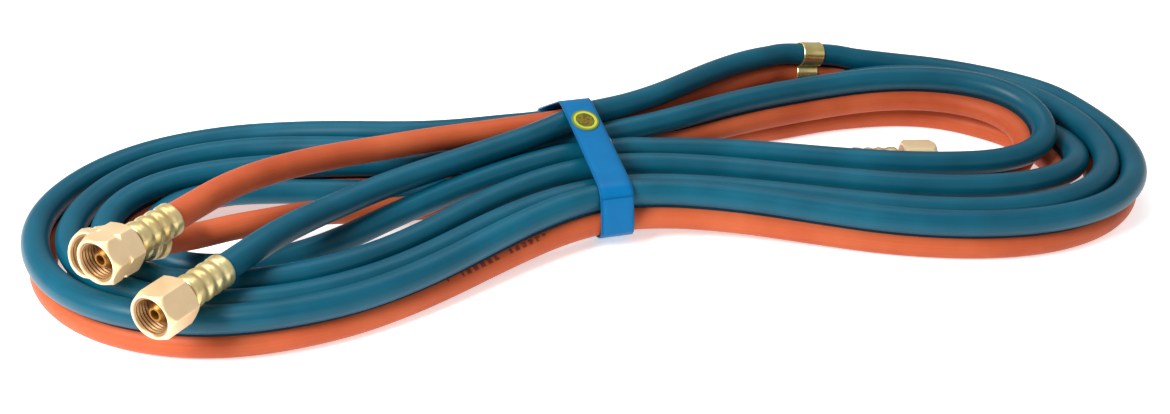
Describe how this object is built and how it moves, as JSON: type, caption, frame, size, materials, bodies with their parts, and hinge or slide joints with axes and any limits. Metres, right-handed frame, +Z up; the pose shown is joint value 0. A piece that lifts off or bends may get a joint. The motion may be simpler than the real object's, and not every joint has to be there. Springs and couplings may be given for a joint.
{
  "type": "twin welding hose set",
  "caption": "Twin oxygen and fuel gas welding hose wound into a flat peanut-shaped coil, strapped at the waist, with free tails ending in crimped brass swivel-nut fittings.",
  "frame": {"origin": "centre of the footprint of the coiled set, on the table", "axes": "+Z up, +X along the coil's long axis away from the tail fittings, +Y across the coil away from the near side"},
  "size_m": [0.5397, 0.263, 0.0613],
  "materials": {
    "blue_rubber": "smooth semi-matt rubber",
    "orange_rubber": "smooth semi-matt rubber",
    "brass": "machined, lightly polished",
    "pale_brass": "pressed, bright",
    "strap": "glossy flat tape",
    "label": "printed oval plate"
  },
  "bodies": {
    "root": {"oxygen_hose_coil": "blue_rubber", "fuel_hose_coil": "orange_rubber", "oxygen_outer_tail_held": "blue_rubber", "fuel_outer_tail_held": "orange_rubber", "oxygen_inner_tail": "blue_rubber", "fuel_inner_tail": "orange_rubber", "oxygen_inner_ferrule": "pale_brass", "oxygen_inner_stem": "brass", "fuel_inner_ferrule": "pale_brass", "fuel_inner_stem": "brass", "outer_split_clip": "pale_brass", "inner_split_clip": "pale_brass", "strap_band": "strap", "strap_label": "label"},
    "oxygen_tail_mid_body": {"oxygen_outer_tail_mid": "blue_rubber"},
    "oxygen_tail_end_body": {"oxygen_outer_tail_end": "blue_rubber", "oxygen_outer_ferrule": "pale_brass", "oxygen_outer_stem": "brass"},
    "oxygen_outer_nut_body": {"oxygen_outer_nut": "brass"},
    "fuel_tail_mid_body": {"fuel_outer_tail_mid": "orange_rubber"},
    "fuel_tail_end_body": {"fuel_outer_tail_end": "orange_rubber", "fuel_outer_ferrule": "pale_brass", "fuel_outer_stem": "brass"},
    "fuel_outer_nut_body": {"fuel_outer_nut": "brass"},
    "oxygen_inner_nut_body": {"oxygen_inner_nut": "brass"},
    "fuel_inner_nut_body": {"fuel_inner_nut": "brass"},
    "strap_tab_body": {"strap_tab": "strap"}
  },
  "joints": [
    {"name": "oxygen_tail_lift", "type": "hinge", "parent": "root", "child": "oxygen_tail_mid_body", "pos_m": [-0.03047, 0.02549, 0.03201], "axis": [-0.4322, 0.9018, 0], "range_deg": [0, 20]},
    {"name": "oxygen_tail_bend", "type": "hinge", "parent": "oxygen_tail_mid_body", "child": "oxygen_tail_end_body", "pos_m": [-0.11112, -0.01623, 0.02751], "axis": [-0.584, 0.8117, 0], "range_deg": [0, 20]},
    {"name": "oxygen_outer_nut_swivel", "type": "hinge", "parent": "oxygen_tail_end_body", "child": "oxygen_outer_nut_body", "pos_m": [-0.1723, -0.09086, 0.0336], "axis": [-0.531, -0.8459, 0.05], "continuous": true},
    {"name": "fuel_tail_lift", "type": "hinge", "parent": "root", "child": "fuel_tail_mid_body", "pos_m": [-0.03386, 0.04316, 0.02718], "axis": [-0.3446, 0.9388, 0], "range_deg": [0, 20]},
    {"name": "fuel_tail_bend", "type": "hinge", "parent": "fuel_tail_mid_body", "child": "fuel_tail_end_body", "pos_m": [-0.12311, 0.00079, 0.03805], "axis": [-0.5596, 0.8288, 0], "range_deg": [0, 20]},
    {"name": "fuel_outer_nut_swivel", "type": "hinge", "parent": "fuel_tail_end_body", "child": "fuel_outer_nut_body", "pos_m": [-0.19245, -0.07485, 0.0498], "axis": [-0.5366, -0.8423, 0.05], "continuous": true},
    {"name": "oxygen_inner_nut_swivel", "type": "hinge", "parent": "root", "child": "oxygen_inner_nut_body", "pos_m": [0.12728, 0.01769, 0.0096], "axis": [0.995, -0.0997, 0], "continuous": true},
    {"name": "fuel_inner_nut_swivel", "type": "hinge", "parent": "root", "child": "fuel_inner_nut_body", "pos_m": [-0.20342, -0.05459, 0.0278], "axis": [-0.5197, -0.7795, 0.3498], "continuous": true},
    {"name": "strap_tab_peel", "type": "hinge", "parent": "root", "child": "strap_tab_body", "pos_m": [-0.00235, -0.03881, 0.0273], "axis": [-0.991, -0.134, 0], "range_deg": [0, 110]}
  ]
}
